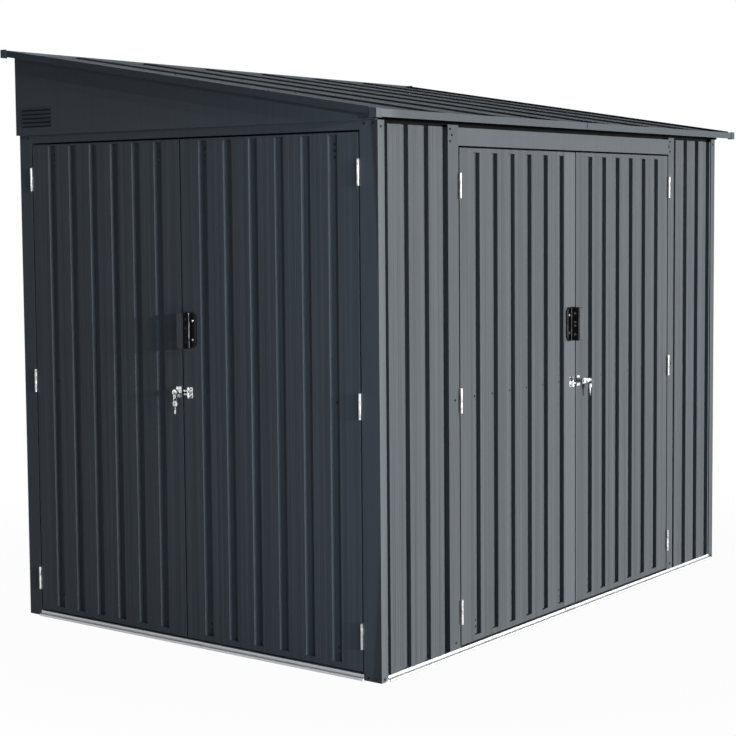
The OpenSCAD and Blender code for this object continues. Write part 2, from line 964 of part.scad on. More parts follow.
module at_hinges(height) {
    for (level = [low_hinge(), middle_hinge(height), high_hinge(height)])
        translate([0, 0, level - hinge_height / 2]) children();
}

// Places for the four leaves, with the hinge axis at the origin and the leaf towards +X
module at_front_left() {
    translate([front_open_from + hinge_gap / 2, -hinge_proud, 0]) children();
}

module at_front_right() {
    translate([front_open_to - hinge_gap / 2, -hinge_proud, 0]) mirror([1, 0, 0]) children();
}

module at_end_near() {
    translate([-hinge_proud, end_open_from + hinge_gap / 2, 0])
        rotate([0, 0, 90])
        mirror([0, 1, 0])
        children();
}

module at_end_back() {
    translate([-hinge_proud, end_open_to - hinge_gap / 2, 0])
        rotate([0, 0, -90])
        children();
}

// From the hinge axis to the lower hinge corner of the leaf's face
module on_leaf() {
    translate([hinge_gap / 2, hinge_proud, leaf_bottom]) children();
}

module front_frame_hinges() {
    color(chrome) {
        at_front_left() at_hinges(front_leaf_height) frame_hinge();
        at_front_right() at_hinges(front_leaf_height) frame_hinge();
    }
}

module end_frame_hinges() {
    color(chrome) {
        at_end_near() at_hinges(end_leaf_height) frame_hinge();
        at_end_back() at_hinges(end_leaf_height) frame_hinge();
    }
}

module front_left_door() {
    at_front_left() on_leaf() leaf(active_width(front_open), front_leaf_height, front_top_strip);
}

module front_left_door_rails() {
    at_front_left() on_leaf() leaf_rails(active_width(front_open), front_leaf_height, front_top_strip);
}

module front_left_door_hinges() {
    color(chrome) at_front_left() at_hinges(front_leaf_height) leaf_hinge();
}

module front_right_door() {
    at_front_right() on_leaf() leaf(passive_width(front_open), front_leaf_height, front_top_strip);
}

module front_right_door_rails() {
    at_front_right() on_leaf() leaf_rails(passive_width(front_open), front_leaf_height, front_top_strip);
}

module front_right_door_hinges() {
    color(chrome) at_front_right() at_hinges(front_leaf_height) leaf_hinge();
}

module end_near_door() {
    at_end_near() on_leaf() leaf(active_width(end_open), end_leaf_height, end_top_strip);
}

module end_near_door_rails() {
    at_end_near() on_leaf() leaf_rails(active_width(end_open), end_leaf_height, end_top_strip);
}

module end_near_door_hinges() {
    color(chrome) at_end_near() at_hinges(end_leaf_height) leaf_hinge();
}

module end_back_door() {
    at_end_back() on_leaf() leaf(passive_width(end_open), end_leaf_height, end_top_strip);
}

module end_back_door_rails() {
    at_end_back() on_leaf() leaf_rails(passive_width(end_open), end_leaf_height, end_top_strip);
}

module end_back_door_hinges() {
    color(chrome) at_end_back() at_hinges(end_leaf_height) leaf_hinge();
}

// Pull handle: seam edge of the leaf at x = 0, leaf towards -X, outside towards -Y
web_x = -seam_inset - paddle_width;
half_handle = handle_height / 2;

module handle_plate() {
    rotate([90, 0, 0])
        linear_extrude(handle_plate_t)
        polygon([
            [web_x, -half_handle],
            [web_x - handle_width + handle_chamfer, -half_handle],
            [web_x - handle_width, handle_chamfer - half_handle],
            [web_x - handle_width, half_handle - handle_chamfer],
            [web_x - handle_width + handle_chamfer, half_handle],
            [web_x, half_handle]
        ]);
}

// Web from the plate out to the paddle, with two holes in the middle and one near each end
module handle_web() {
    difference() {
        translate([web_x - handle_web_t, -handle_reach, -half_handle])
            cube([handle_web_t, handle_reach, handle_height]);
        for (z = [web_hole_gap / 2, web_hole_span / 2])
            for (side = [-1, 1])
                translate([web_x - handle_web_t - cut_over, -web_hole_reach, side * z])
                    rotate([0, 90, 0])
                    cylinder(d = web_hole_d, h = handle_web_t + 2 * cut_over);
    }
}

module paddle_outline() {
    straight = paddle_width - paddle_radius;
    translate([web_x - handle_web_t, -half_handle]) square([straight + handle_web_t, handle_height]);
    translate([web_x, paddle_radius - half_handle])
        square([paddle_width, handle_height - 2 * paddle_radius]);
    for (side = [-1, 1])
        translate([web_x + straight, side * (half_handle - paddle_radius)]) circle(r = paddle_radius);
}

module handle(height) {
    color(black)
        translate([0, 0, middle_hinge(height) + handle_above_hinge]) {
            handle_plate();
            handle_web();
            translate([0, handle_plate_t - handle_reach, 0])
                rotate([90, 0, 0])
                linear_extrude(handle_plate_t)
                paddle_outline();
        }
}

// Hasp on the leaf with the handle: screw plate, upright pivot and two prongs that end at the seam
module hasp(height) {
    pivot_x = -seam_inset - hasp_arm;
    pivot_y = -hasp_pivot_d / 2;
    color(chrome)
        translate([0, 0, middle_hinge(height)]) {
            translate([pivot_x - hasp_width, -hasp_t, -hasp_height / 2])
                cube([hasp_width, hasp_t, hasp_height]);
            translate([pivot_x, pivot_y, -hasp_height / 2]) cylinder(d = hasp_pivot_d, h = hasp_height);
            for (z = [-hasp_arm_height / 2, hasp_arm_height / 2 - hasp_prong])
                translate([pivot_x, pivot_y - hasp_t / 2, z])
                    cube([hasp_arm, hasp_t, hasp_prong]);
        }
}

// Key on its ring: the ring passes through the lever's hole, whose middle is the origin
hang_gap = 0.3;
ring_r = key_ring_d / 2;
wire_r = key_wire_d / 2;
function ring_bend(t) = ring_r - sqrt(ring_r * ring_r - t * t / 4);
ring_top = wire_r + ring_bend(lever_t) + hang_gap - lever_hole_d / 2;
ring_bottom = ring_top - key_ring_d;
key_hole_d = 3 * key_wire_d;
key_hole_z = ring_bottom + wire_r + ring_bend(key_t) + hang_gap - key_hole_d / 2;
key_head_z = key_hole_z + key_hole_d - key_head_d / 2;

module key_ring() {
    translate([0, 0, ring_top - ring_r])
        rotate([0, 90, 0])
        rotate_extrude()
        translate([ring_r, 0])
        circle(r = wire_r);
}

module key() {
    blade = key_head_d / 2 + key_blade;
    translate([0, key_t / 2, 0])
        rotate([90, 0, 0])
        difference() {
            union() {
                translate([0, key_head_z]) cylinder(d = key_head_d, h = key_t);
                translate([-key_blade_width / 2, key_head_z - blade])
                    cube([key_blade_width, blade, key_t]);
            }
            translate([0, key_hole_z, -cut_over])
                cylinder(d = key_hole_d, h = key_t + 2 * cut_over);
        }
}

// Lever outline with the barrel's middle at the origin
module lever_outline(reach) {
    tip_r = lever_tip_d / 2;
    circle(d = barrel_d);
    translate([reach, 0]) circle(d = lever_tip_d);
    polygon([[0, -barrel_d / 2], [reach, -tip_r], [reach, tip_r], [0, barrel_d / 2]]);
}

// Barrel of the lock, a waist between two collars
module lock_barrel() {
    cylinder(d = barrel_waist_d, h = barrel_length);
    cylinder(d = barrel_d, h = barrel_collar);
    translate([0, 0, barrel_length - barrel_collar]) cylinder(d = barrel_d, h = barrel_collar);
}

// Lock on the other leaf: seam edge at x = 0, leaf towards +X, outside towards -Y
module lock(height, reach, turn) {
    middle = seam_inset + barrel_d / 2 + hasp_t;
    lever_y = -hasp_t - barrel_length;
    tip_x = middle + reach * cos(turn);
    tip_z = reach * sin(turn);
    color(chrome)
        translate([0, 0, middle_hinge(height)]) {
            translate([seam_inset, -hasp_t, -hasp_height / 2])
                cube([barrel_d + 2 * hasp_t, hasp_t, hasp_height]);
            translate([middle, -hasp_t, 0])
                rotate([90, 0, 0])
                lock_barrel();
            difference() {
                translate([middle, lever_y, 0])
                    rotate([90, 0, 0])
                    linear_extrude(lever_t)
                    rotate(turn)
                    lever_outline(reach);
                translate([tip_x, lever_y + cut_over, tip_z])
                    rotate([90, 0, 0])
                    cylinder(d = lever_hole_d, h = lever_t + 2 * cut_over);
            }
            translate([tip_x, lever_y - lever_t / 2, tip_z]) {
                key_ring();
                key();
            }
        }
}

module at_seam(width) {
    translate([hinge_gap / 2 + width, hinge_proud, 0]) children();
}

module front_handle() {
    at_front_left() at_seam(active_width(front_open)) handle(front_leaf_height);
}

module front_hasp() {
    at_front_left() at_seam(active_width(front_open)) hasp(front_leaf_height);
}

module front_lock() {
    at_front_right()
        at_seam(passive_width(front_open))
        mirror([1, 0, 0])
        lock(front_leaf_height, front_lever_reach, front_lever_turn);
}

module end_handle() {
    at_end_near() at_seam(active_width(end_open)) handle(end_leaf_height);
}

module end_hasp() {
    at_end_near() at_seam(active_width(end_open)) hasp(end_leaf_height);
}

module end_lock() {
    at_end_back()
        at_seam(passive_width(end_open))
        mirror([1, 0, 0])
        lock(end_leaf_height, end_lever_reach, end_lever_turn);
}

shed() base_front();
shed() base_back();
shed() base_left();
shed() base_right();
shed() front_left_post();
shed() front_right_post();
shed() back_left_post();
shed() back_right_post();
shed() front_left_panel();
shed() front_right_panel();
shed() back_wall();
shed() right_wall();
shed() front_left_jamb();
shed() front_right_jamb();
shed() front_lintel();
shed() left_header();
shed() front_top_rail();
shed() back_top_rail();
shed() right_top_rail();
shed() mid_rails();
shed() left_gable();
shed() right_gable();
shed() upper_back_panel();
shed() roof_sheets();
shed() left_roof_trim();
shed() right_roof_trim();
shed() eave_fascia();
shed() back_roof_trim();
shed() roof_corner_caps();
shed() roof_beams();
shed() front_frame_hinges();
shed() end_frame_hinges();
shed() front_left_door();
shed() front_left_door_rails();
shed() front_left_door_hinges();
shed() front_right_door();
shed() front_right_door_rails();
shed() front_right_door_hinges();
shed() end_near_door();
shed() end_near_door_rails();
shed() end_near_door_hinges();
shed() end_back_door();
shed() end_back_door_rails();
shed() end_back_door_hinges();
shed() front_handle();
shed() front_hasp();
shed() front_lock();
shed() end_handle();
shed() end_hasp();
shed() end_lock();
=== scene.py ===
"""Looks for the metal storage shed: paint, zinc, plastic, fasteners, light and camera."""
import json
import math

import bmesh
import bpy
from mathutils import Matrix, Vector


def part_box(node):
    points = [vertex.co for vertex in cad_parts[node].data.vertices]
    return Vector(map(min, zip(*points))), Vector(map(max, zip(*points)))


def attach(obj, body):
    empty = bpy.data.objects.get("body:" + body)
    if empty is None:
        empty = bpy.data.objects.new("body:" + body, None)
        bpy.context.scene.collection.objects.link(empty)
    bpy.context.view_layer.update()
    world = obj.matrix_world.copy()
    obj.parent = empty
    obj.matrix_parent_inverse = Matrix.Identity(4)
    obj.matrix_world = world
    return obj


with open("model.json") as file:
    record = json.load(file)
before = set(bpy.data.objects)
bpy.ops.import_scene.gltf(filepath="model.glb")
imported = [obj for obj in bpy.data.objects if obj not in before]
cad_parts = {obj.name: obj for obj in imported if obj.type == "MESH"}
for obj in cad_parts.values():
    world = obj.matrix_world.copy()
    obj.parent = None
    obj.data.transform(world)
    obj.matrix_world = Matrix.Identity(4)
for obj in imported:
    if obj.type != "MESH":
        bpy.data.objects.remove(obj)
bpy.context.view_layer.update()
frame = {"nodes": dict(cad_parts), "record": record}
nodes = frame["nodes"]
scene = bpy.context.scene
scene.view_settings.view_transform = "Standard"


# Node helpers
class Graph:
    """An emptied node tree with short calls to add and join nodes."""

    def __init__(self, tree):
        self.tree = tree
        tree.nodes.clear()

    def join(self, a, b):
        self.tree.links.new(a, b)

    def node(self, kind, **settings):
        n = self.tree.nodes.new(kind)
        for key, value in settings.items():
            setattr(n, key, value)
        return n

    def put(self, socket, value):
        """Feed a socket from another node, or set its own value."""
        if isinstance(value, bpy.types.NodeSocket):
            self.join(value, socket)
        else:
            socket.default_value = value

    def fill(self, n, **values):
        """Feed a node's sockets by name, written with an underscore for each space."""
        for key, value in values.items():
            self.put(n.inputs[key.replace("_", " ")], value)
        return n

    def maths(self, kind, a, b):
        n = self.node("ShaderNodeMath", operation=kind)
        self.put(n.inputs[0], a)
        self.put(n.inputs[1], b)
        return n.outputs[0]

    def dot(self, a, b):
        n = self.node("ShaderNodeVectorMath", operation="DOT_PRODUCT")
        self.put(n.inputs[0], a)
        self.put(n.inputs[1], b)
        return n.outputs["Value"]

    def span(self, value, low, high, to_low=0.0, to_high=1.0, curve="LINEAR"):
        """A value moved from one range to another and kept inside it."""
        n = self.node("ShaderNodeMapRange", clamp=True, interpolation_type=curve)
        self.fill(n, Value=value, From_Min=low, From_Max=high, To_Min=to_low, To_Max=to_high)
        return n.outputs["Result"]

    def white_rays(self):
        """1 for rays that should meet plain white: seen directly, in gloss or through something clear."""
        path = self.node("ShaderNodeLightPath")
        total = path.outputs["Is Camera Ray"]
        for kind in ("Is Glossy Ray", "Is Transmission Ray"):
            total = self.maths("MAXIMUM", total, path.outputs[kind])
        return total

    def blend(self, share, first, second, out):
        """Send a blend of two shaders to an output."""
        n = self.node("ShaderNodeMixShader")
        for socket, value in zip(n.inputs, (share, first.outputs[0], second.outputs[0])):
            self.join(value, socket)
        self.join(n.outputs[0], out.inputs["Surface"])


class Finish(Graph):
    """A new material with one shader, and the patterns it is made of, measured in metres on the piece."""

    def __init__(self, name):
        self.material = bpy.data.materials.new(name)
        self.material.use_nodes = True
        super().__init__(self.material.node_tree)
        self.shader = self.node("ShaderNodeBsdfPrincipled")
        self.join(self.shader.outputs["BSDF"], self.node("ShaderNodeOutputMaterial").inputs["Surface"])
        self.place = self.node("ShaderNodeTexCoord").outputs["Object"]
        self.facing = self.node("ShaderNodeNewGeometry").outputs["Normal"]

    def noise(self, scale, detail, rough=0.5, stretch=None):
        where = self.place
        if stretch:
            where = self.fill(self.node("ShaderNodeMapping"), Vector=where, Scale=stretch).outputs["Vector"]
        n = self.node("ShaderNodeTexNoise")
        self.fill(n, Vector=where, Scale=scale, Detail=detail, Roughness=rough)
        return n.outputs["Fac"]

    def cells(self, scale):
        """Small cells, each with a level of its own from 0 to 1."""
        n = self.fill(self.node("ShaderNodeTexVoronoi"), Vector=self.place, Scale=scale)
        return self.fill(self.node("ShaderNodeSeparateColor"), Color=n.outputs["Color"]).outputs["Red"]

    def mix(self, factor, a, b):
        """A colour between two others, each of them fixed or made by other nodes."""
        n = self.fill(self.node("ShaderNodeMix", data_type="RGBA"), Factor=factor)
        tones = [socket for socket in n.inputs if socket.type == "RGBA"]
        for socket, colour in zip(tones, (a, b)):
            self.put(socket, (*colour, 1) if isinstance(colour, tuple) else colour)
        return next(socket for socket in n.outputs if socket.type == "RGBA")

    def soft_edge(self, radius):
        return self.fill(self.node("ShaderNodeBevel", samples=4), Radius=radius).outputs["Normal"]

    def edge_mask(self, rounded):
        """1 along the edges, where the rounded surface turns away from the flat one."""
        away = self.maths("SUBTRACT", 1.0, self.dot(rounded, self.facing))
        return self.span(away, 0.02, 0.2)

    def bump(self, pattern, strength, depth, normal):
        n = self.node("ShaderNodeBump")
        self.fill(n, Height=pattern, Strength=strength, Distance=depth, Normal=normal)
        return n.outputs["Normal"]

    def upright_part(self, vector):
        return self.fill(self.node("ShaderNodeSeparateXYZ"), Vector=vector).outputs["Z"]

    def finish(self, **values):
        self.fill(self.shader, **values)
        return self.material


# Materials
def shades(colour, spread):
    """A darker and a lighter tone round a colour."""
    return tuple(c * (1 - spread) for c in colour), tuple(c * (1 + spread) for c in colour)


def painted(name, colour, rough, specular, streak=0.04):
    """Satin paint on sheet steel.

    It has soft tone changes, fine peel, upright streaks, brighter folds and dust low down.
    """
    fold_radius, dust_height = 0.0016, 0.16
    buckle_depth, peel_depth = 0.004, 0.0004
    dust_grey = (0.21, 0.21, 0.20)
    worn = tuple(1.35 * c + 0.01 for c in colour)
    dark, light = shades(colour, 0.05)
    streak_dark, streak_light = shades(colour, streak)
    g = Finish(name)
    clouds = g.noise(scale=2.2, detail=3)
    runs = g.noise(scale=1.0, detail=3, rough=0.55, stretch=(60, 60, 0.5))
    specks = g.noise(scale=700, detail=2, rough=0.6)
    rounded = g.soft_edge(fold_radius)
    paint = g.mix(g.span(clouds, 0.3, 0.7), dark, light)
    streaks = g.mix(g.span(runs, 0.38, 0.62), streak_dark, streak_light)
    paint = g.mix(0.6, paint, streaks)
    paint = g.mix(g.span(specks, 0.66, 0.78, to_high=0.3), paint, worn)
    wear = g.span(g.noise(scale=60, detail=3), 0.35, 0.7, 0.15, 0.6)
    paint = g.mix(g.maths("MULTIPLY", g.edge_mask(rounded), wear), paint, worn)
    low = g.span(g.upright_part(g.place), 0.0, dust_height, 1.0, 0.0)
    grains = g.span(g.noise(scale=26, detail=4, rough=0.6), 0.45, 0.75, to_high=0.25)
    paint = g.mix(g.maths("MULTIPLY", low, grains), paint, dust_grey)
    normal = g.bump(g.noise(scale=5.0, detail=1), 0.10, buckle_depth, rounded)
    normal = g.bump(g.noise(scale=520, detail=2), 0.16, peel_depth, normal)
    gloss = g.maths("ADD", runs, g.noise(scale=14, detail=3))
    roughness = g.span(gloss, 0.7, 1.3, rough - 0.05, rough + 0.07)
    return g.finish(Base_Color=paint, Roughness=roughness, Normal=normal, Specular_IOR_Level=specular)


def galvanised(name):
    """Bright zinc with a fine spangle, a little grey bloom, painted shade along its folds and dust on its
    ledges.
    """
    fold_radius, grain_depth = 0.004, 0.0004
    dull_zinc, bright_zinc = (0.80, 0.81, 0.82), (0.89, 0.89, 0.89)
    bloom, fold_shade_grey, dust_grey = (0.68, 0.69, 0.70), (0.26, 0.27, 0.28), (0.22, 0.22, 0.21)
    g = Finish(name)
    spangle = g.cells(scale=160)
    rounded = g.soft_edge(fold_radius)
    colour = g.mix(spangle, dull_zinc, bright_zinc)
    colour = g.mix(g.span(g.noise(scale=9, detail=4, rough=0.6), 0.55, 0.8, to_high=0.2), colour, bloom)
    # Painted shade: grey along the folds.
    colour = g.mix(g.maths("MULTIPLY", g.edge_mask(rounded), 0.8), colour, fold_shade_grey)
    ledge = g.span(g.upright_part(g.facing), 0.5, 0.9)
    grains = g.span(g.noise(scale=40, detail=3), 0.3, 0.7, 0.6, 0.9)
    colour = g.mix(g.maths("MULTIPLY", ledge, grains), colour, dust_grey)
    metallic = g.span(ledge, 0.0, 1.0, 0.45, 0.10)
    roughness = g.span(spangle, 0.0, 1.0, 0.34, 0.44)
    normal = g.bump(g.noise(scale=300, detail=2), 0.10, grain_depth, rounded)
    return g.finish(Base_Color=colour, Roughness=roughness, Normal=normal, Metallic=metallic)


def plated(name, light, dark, patch_scale, rough):
    """Plated steel: bright and dull patches, fine turning lines, and painted dark reflections along its
    edges.
    """
    edge_radius, line_depth = 0.0014, 0.0002
    g = Finish(name)
    lines = g.noise(scale=1.0, detail=2, stretch=(900, 900, 60))
    patches = g.noise(patch_scale, detail=2)
    rounded = g.soft_edge(edge_radius)
    tone = g.mix(g.span(patches, 0.42, 0.56), dark, light)
    # Painted reflection: darker along the edges, where chrome would mirror darker surroundings.
    tone = g.mix(g.maths("MULTIPLY", g.edge_mask(rounded), 0.75), tone, dark)
    roughness = g.span(g.maths("ADD", patches, lines), 0.7, 1.3, rough - 0.06, rough + 0.1)
    normal = g.bump(lines, 0.10, line_depth, rounded)
    return g.finish(Base_Color=tone, Roughness=roughness, Normal=normal, Metallic=1.0)


def moulded(name, colour, rough, specular):
    """Moulded plastic with a fine grain, paler along its edges, partly rubbing and partly a painted
    highlight.
    """
    edge_radius, grain_depth = 0.0014, 0.0003
    dark, light = shades(colour, 0.1)
    rubbed_and_highlit = tuple(2.2 * c + 0.012 for c in colour)
    g = Finish(name)
    grain = g.noise(scale=1500, detail=2, rough=0.6)
    clouds = g.noise(scale=24, detail=3)
    rounded = g.soft_edge(edge_radius)
    tone = g.mix(g.span(clouds, 0.3, 0.7), dark, light)
    # Paler edges: part rubbing, part painted highlight.
    tone = g.mix(g.maths("MULTIPLY", g.edge_mask(rounded), 0.5), tone, rubbed_and_highlit)
    roughness = g.span(g.maths("ADD", grain, clouds), 0.7, 1.3, rough - 0.06, rough + 0.08)
    normal = g.bump(grain, 0.2, grain_depth, rounded)
    return g.finish(Base_Color=tone, Roughness=roughness, Normal=normal, Specular_IOR_Level=specular)


wall_grey = (0.149, 0.166, 0.180)
wall_paint = painted("wall_paint", wall_grey, rough=0.50, specular=0.06)
sheet_paint = painted("sheet_paint", wall_grey, rough=0.50, specular=0.06, streak=0.19)
# Painted light: a lighter copy of the wall paint, making up for the shade the roof's overhang casts on the
# gables.
lit_gable_paint = painted("lit_gable_paint", (0.194, 0.208, 0.222), rough=0.65, specular=0.015)
# Painted light: a lighter copy of the wall paint for the strip over the doors.
lit_lintel_paint = painted("lit_lintel_paint", (0.166, 0.184, 0.202), rough=0.45, specular=0.06)
# Painted highlight: a lighter copy of the wall paint for the strip along the front seam.
seam_highlight_paint = painted("seam_highlight_paint", (0.192, 0.213, 0.231), rough=0.45, specular=0.06)
roof_paint = painted("roof_paint", (0.153, 0.163, 0.168), rough=0.65, specular=0.015)
trim_paint = painted("trim_paint", (0.098, 0.112, 0.124), rough=0.55, specular=0.06)
inner_paint = painted("inner_paint", (0.155, 0.170, 0.182), rough=0.50, specular=0.12)
# Painted shade: near-black paint on the front top rail, standing in for the deep shadow under the eave.
shadow_black_paint = painted("shadow_black_paint", (0.004, 0.005, 0.006), rough=0.60, specular=0.03)
shade_paint = painted("shade_paint", (0.040, 0.045, 0.049), rough=0.60, specular=0.05)
zinc = galvanised("zinc")
chrome = plated("chrome", (0.88, 0.89, 0.90), (0.20, 0.21, 0.22), patch_scale=70, rough=0.20)
hinge_steel = plated("hinge_steel", (0.72, 0.73, 0.74), (0.46, 0.47, 0.48), patch_scale=45, rough=0.40)
# Painted highlight: pale steel for the beads that stand in for the highlight along each handle's fillet.
bead_highlight_steel = plated("bead_highlight_steel", (0.34, 0.35, 0.36), (0.13, 0.14, 0.15), patch_scale=40, rough=0.35)
dark_bolt = plated("dark_bolt", (0.040, 0.042, 0.045), (0.018, 0.019, 0.020), patch_scale=400, rough=0.40)
black_plastic = moulded("black_plastic", (0.006, 0.006, 0.007), rough=0.30, specular=0.35)
grey_plastic = moulded("grey_plastic", (0.112, 0.124, 0.134), rough=0.50, specular=0.12)
grip_plastic = moulded("grip_plastic", (0.096, 0.108, 0.118), rough=0.40, specular=0.20)

slot_material = {
    "painted_steel": wall_paint,
    "galvanised_steel": zinc,
    "black_plastic": black_plastic,
    "bright_steel": chrome,
    "grey_plastic": grey_plastic,
}
kind_material = {
    "_rails": inner_paint,
    "_door": sheet_paint,
    "_wall": sheet_paint,
    "_hinges": hinge_steel,
}
own_material = {
    "roof_sheets": roof_paint,
    "left_roof_trim": trim_paint,
    "right_roof_trim": trim_paint,
    "back_roof_trim": trim_paint,
    "roof_beams": inner_paint,
    # The front top rail carries painted shade for the dark gap under the eave.
    "front_top_rail": shadow_black_paint,
    "back_top_rail": inner_paint,
    "right_top_rail": inner_paint,
    "front_lintel": lit_lintel_paint,
    "left_gable": lit_gable_paint,
    "right_gable": lit_gable_paint,
    "front_left_panel": sheet_paint,
    "front_right_panel": sheet_paint,
}


def node_material(name, slot):
    """A node's own material, or that of its kind by the end of its name, or that of its slot."""
    if name in own_material:
        return own_material[name]
    for ending, material in kind_material.items():
        if name.endswith(ending):
            return material
    return slot_material[slot]


for part in frame["record"]["subparts"]:
    mesh = nodes[part["node"]].data
    mesh.materials.clear()
    mesh.materials.append(node_material(part["node"], part["material_slot"]))


# Places on the shed
FRONT = Vector((0, -1, 0))
BACK = Vector((0, 1, 0))
LEFT = Vector((-1, 0, 0))
RIGHT = Vector((1, 0, 0))
UP = Vector((0, 0, 1))
corner = Vector(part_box("front_left_post")[0])
far_corner = Vector(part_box("back_right_post")[1])
wall_length = far_corner.x - corner.x
wall_depth = far_corner.y - corner.y
wall_height = far_corner.z - corner.z
mid_rail_level = 0.826
back_sheets = 3
right_sheets = 2


def from_corner(x, y, z):
    return corner + Vector((x, y, z))


def turned(facing, point):
    """A point's places along a wall, across it and up, or back again: the two ends swap X and Y."""
    x, y, z = point
    return Vector((y, x, z)) if facing.x else Vector((x, y, z))


# Meshes
SEGMENTS = 24


def add_ring(bm, place, radii, rise):
    ring = []
    for i, radius in enumerate(radii):
        turn = 2 * math.pi * i / SEGMENTS
        point = Vector((radius * math.cos(turn), radius * math.sin(turn), rise))
        ring.append(bm.verts.new(place @ point))
    return ring


def join_rings(bm, rings):
    """Closed skin over a row of rings with as many points each."""
    count = len(rings[0])
    for low, high in zip(rings, rings[1:]):
        for i in range(count):
            j = (i + 1) % count
            bm.faces.new((low[i], low[j], high[j], high[i]))
    bm.faces.new(rings[-1])
    bm.faces.new(list(reversed(rings[0])))


def add_plate(bm, place, a_range, b_range, steps):
    """A flat plate with eased edges.

    place maps two ways along the plate and one out of it to the shed. Each step is a rise and an inset.
    """
    a0, a1 = a_range
    b0, b1 = b_range
    rings = []
    for rise, inset in steps:
        left, right, low, high = a0 + inset, a1 - inset, b0 + inset, b1 - inset
        outline = ((left, low), (right, low), (right, high), (left, high))
        rings.append([bm.verts.new(place(a, b, rise)) for a, b in outline])
    join_rings(bm, rings)


def finish_piece(bm, name, body, material):
    """Make a piece of a mesh and let it ride on a body."""
    bmesh.ops.recalc_face_normals(bm, faces=bm.faces)
    mesh = bpy.data.meshes.new(name)
    bm.to_mesh(mesh)
    bm.free()
    mesh.materials.append(material)
    piece = bpy.data.objects.new(name, mesh)
    scene.collection.objects.link(piece)
    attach(piece, body)


# Screws
def cross_outline(arm, waist):
    """Radii of a cross-shaped recess at the segments of a head."""
    quarter = SEGMENTS // 4
    return [arm if i % quarter in (0, 1, quarter - 1) else waist for i in range(SEGMENTS)]


def add_screw(bm, at, normal, radius, rise, washer):
    """A domed head with a cross recess, on a washer where it has one."""
    place = Matrix.Translation(at) @ normal.to_track_quat("Z", "Y").to_matrix().to_4x4()
    even = [1.0] * SEGMENTS
    cross = cross_outline(arm=0.58, waist=0.2)
    floor = cross_outline(arm=0.48, waist=0.14)
    dome = ((1.0, 0.0), (1.0, 0.25), (0.9, 0.6), (0.72, 0.85))
    profile = []
    base = 0.0
    if washer:
        base = 0.3 * rise
        profile += [(even, washer, 0.0), (even, washer, 0.7 * base), (even, 0.95 * washer, base)]
    profile += [(even, share * radius, base + level * rise) for share, level in dome]
    profile += [(cross, radius, base + 0.97 * rise), (floor, radius, base + 0.45 * rise)]
    join_rings(bm, [add_ring(bm, place, [k * size for k in shape], z) for shape, size, z in profile])


def screw_set(name, body, places, radius, rise, washer=0.0, material=dark_bolt):
    """One piece of all the like screws on a body; each place is a point and the way it faces."""
    bm = bmesh.new()
    for at, normal in places:
        add_screw(bm, at, normal, radius, rise, washer)
    finish_piece(bm, name, body, material)


def wall_screws():
    """Screws in the posts and the jambs."""
    foot, top, step_down = 0.010, 1.690, 0.010
    spread = 0.019
    from_edge = 0.016
    places = []
    # Three at the top of each jamb, the middle one set aside
    for x, z, aside in ((0.380, 1.665, 0.010), (1.879, 1.663, -0.009)):
        for dx, dz in ((0, spread), (aside, 0), (0, -spread)):
            places.append((from_corner(x + dx, 0, z + dz), FRONT))
    # Two lower down in each jamb
    for x in (0.402, 1.892):
        for z in (0.040, mid_rail_level):
            places.append((from_corner(x, 0, z), FRONT))
    # At the feet and the tops of the posts, on both faces
    for y in (0.017, 0.050, wall_depth - 0.041, wall_depth - 0.012):
        for z in (foot, top):
            places.append((from_corner(0, y, z), LEFT))
            places.append((from_corner(wall_length, y, z), RIGHT))
    for x in (from_edge, wall_length - from_edge):
        for z in (foot, top - step_down):
            places.append((from_corner(x, 0, z), FRONT))
            places.append((from_corner(x, wall_depth, z), BACK))
    return places


def row_screws():
    """Screws in the grooves of the back and right walls, at the rails and near the feet."""
    levels = (0.060, mid_rail_level, 1.660)
    depth, grooves = 0.0135, 7
    back = (BACK, wall_length, wall_depth, back_sheets, 0.0025)
    right = (RIGHT, wall_depth, wall_length, right_sheets, 0.0155)
    places = []
    for facing, length, face, sheets, edge in (back, right):
        sheet = (length - 2 * edge) / sheets
        for k in range(sheets * grooves):
            along = edge + sheet * (k + 0.5) / grooves
            for z in levels:
                places.append((from_corner(*turned(facing, (along, face - depth, z))), facing))
    return places


def leaf_screws(door, facing, in_all, in_ends):
    """Screws on the floors of a leaf's six grooves, at levels for all grooves and for the end ones only."""
    low, high = (turned(facing, c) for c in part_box(door))
    margin, depth, last = 0.097, 0.011, 5
    places = []
    for i in range(last + 1):
        along = margin + i * (high.x - low.x - 2 * margin) / last
        for z in in_all + (in_ends if i in (0, last) else ()):
            places.append((turned(facing, (low.x + along, low.y + depth, z)), facing))
    return places


def roof_screws():
    """Low screws with washers beside the ribs, over each beam and along both edges of the roof."""
    low, high = (Vector(c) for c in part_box("roof_sheets"))
    rib, sheet, count = 0.006, 0.002, 7
    run = high.y - low.y
    rise = high.z - low.z - rib - sheet
    normal = RIGHT.cross(Vector((0, run, rise)).normalized())
    width = (high.x - low.x) / count
    places = []
    for share in (0.03, 0.335, 0.665, 0.975):
        for i in range(count):
            for part_way in (0.45, 0.85):
                x = low.x + width * (i + part_way)
                places.append((Vector((x, low.y + share * run, low.z + sheet + share * rise)), normal))
    return places


